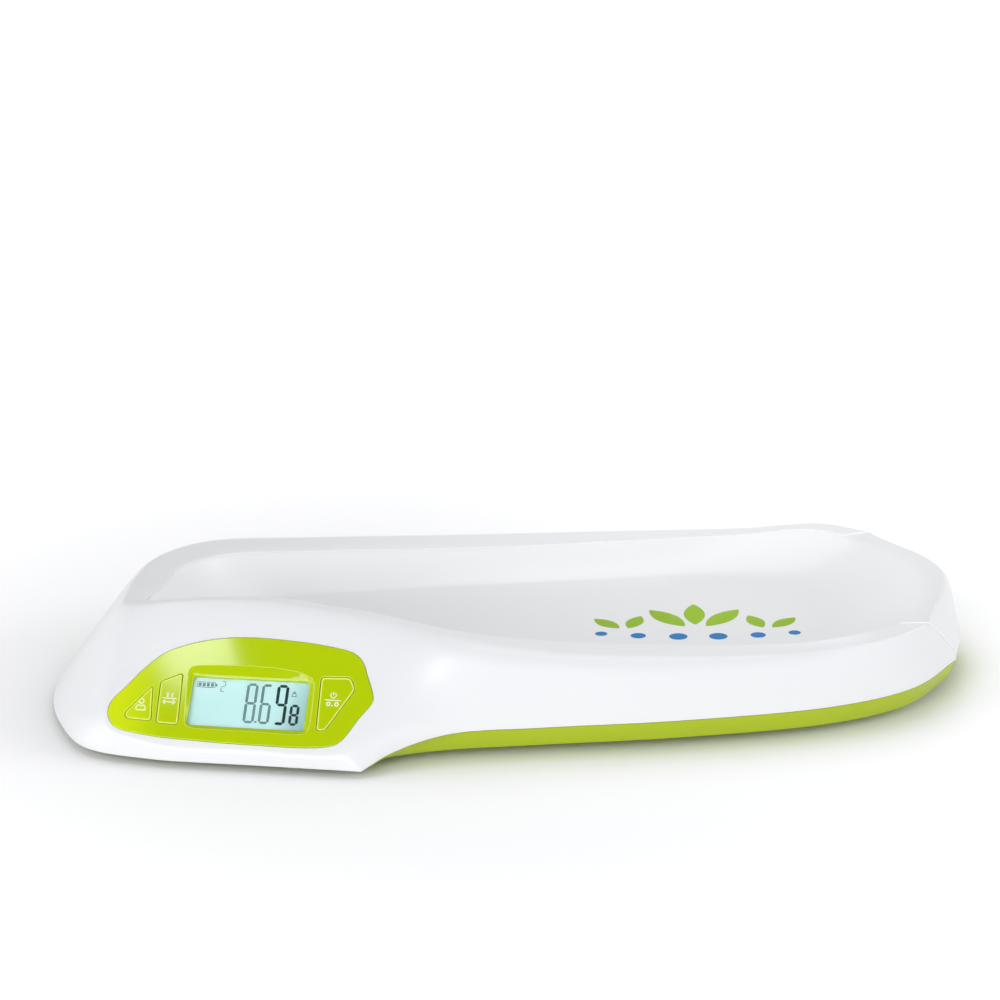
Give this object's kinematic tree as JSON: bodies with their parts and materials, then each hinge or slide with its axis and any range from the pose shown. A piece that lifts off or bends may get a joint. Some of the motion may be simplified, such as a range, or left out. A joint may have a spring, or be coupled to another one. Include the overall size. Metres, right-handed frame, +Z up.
{
  "type": "digital baby weighing scale",
  "caption": "Curved tray scale for infants: a white tray with raised rails, a tilted green display panel with keys, and a green base on rubber feet.",
  "frame": {"origin": "middle of the footprint, on the surface that the feet stand on", "axes": "+X along the tray towards the open foot end, -Y towards the display, +Z up"},
  "size_m": [0.5998, 0.2951, 0.0854],
  "materials": {
    "glossy_white": "high gloss",
    "deck_white": "high gloss",
    "panel_green": "high gloss",
    "base_green": "gloss",
    "clear_window": "clear",
    "display_cyan": "satin",
    "light_guide": "frosted",
    "board_green": "solder mask",
    "black_plastic": "matte",
    "grey_plastic": "matte",
    "foot_rubber": "matte",
    "zinc_steel": "zinc plated",
    "nickel_strip": "nickel plated",
    "cell_jacket": "printed jacket"
  },
  "bodies": {
    "housing": {"upper_shell": "glossy_white", "tray_deck": "deck_white", "base_shell": "base_green", "panel_fascia": "panel_green", "display_window": "clear_window", "lcd_cell": "display_cyan", "lcd_light_guide": "light_guide", "lcd_carrier": "grey_plastic", "main_board": "board_green", "buzzer": "black_plastic", "switch_user": "black_plastic", "switch_hold": "black_plastic", "switch_zero": "black_plastic", "foot_1": "grey_plastic", "foot_2": "grey_plastic", "foot_3": "grey_plastic", "foot_4": "grey_plastic", "foot_pad_1": "foot_rubber", "foot_pad_2": "foot_rubber", "foot_pad_3": "foot_rubber", "foot_pad_4": "foot_rubber", "load_cell_1": "zinc_steel", "load_cell_2": "zinc_steel", "load_cell_3": "zinc_steel", "load_cell_4": "zinc_steel", "cell_seat_1": "grey_plastic", "cell_seat_2": "grey_plastic", "cell_seat_3": "grey_plastic", "cell_seat_4": "grey_plastic", "screw_1": "zinc_steel", "screw_2": "zinc_steel", "screw_3": "zinc_steel", "screw_4": "zinc_steel", "screw_5": "zinc_steel", "screw_6": "zinc_steel", "screw_7": "zinc_steel", "screw_8": "zinc_steel", "battery_1": "cell_jacket", "battery_2": "cell_jacket", "battery_3": "cell_jacket", "battery_4": "cell_jacket", "contact_strip_head": "nickel_strip", "contact_strip_foot": "nickel_strip"},
    "user_key": {"key_user": "panel_green", "switch_plunger_user": "grey_plastic"},
    "hold_key": {"key_hold": "panel_green", "switch_plunger_hold": "grey_plastic"},
    "zero_key": {"key_zero": "panel_green", "switch_plunger_zero": "grey_plastic"},
    "door": {"battery_door": "base_green"}
  },
  "joints": [
    {"name": "user_key_press", "type": "slide", "parent": "housing", "child": "user_key", "axis": [0.1926, 0.6543, -0.7314], "range_m": [0, 0.0008], "stiffness_N_per_m": 2500},
    {"name": "hold_key_press", "type": "slide", "parent": "housing", "child": "hold_key", "axis": [0.1926, 0.6543, -0.7314], "range_m": [0, 0.0008], "stiffness_N_per_m": 2500},
    {"name": "zero_key_press", "type": "slide", "parent": "housing", "child": "zero_key", "axis": [0.1926, 0.6543, -0.7314], "range_m": [0, 0.0008], "stiffness_N_per_m": 2500},
    {"name": "battery_door_hinge", "type": "hinge", "parent": "housing", "child": "door", "pos_m": [0.02775, 0.00925, 0.0072], "axis": [0, 1, 0], "range_deg": [0, 75]}
  ]
}
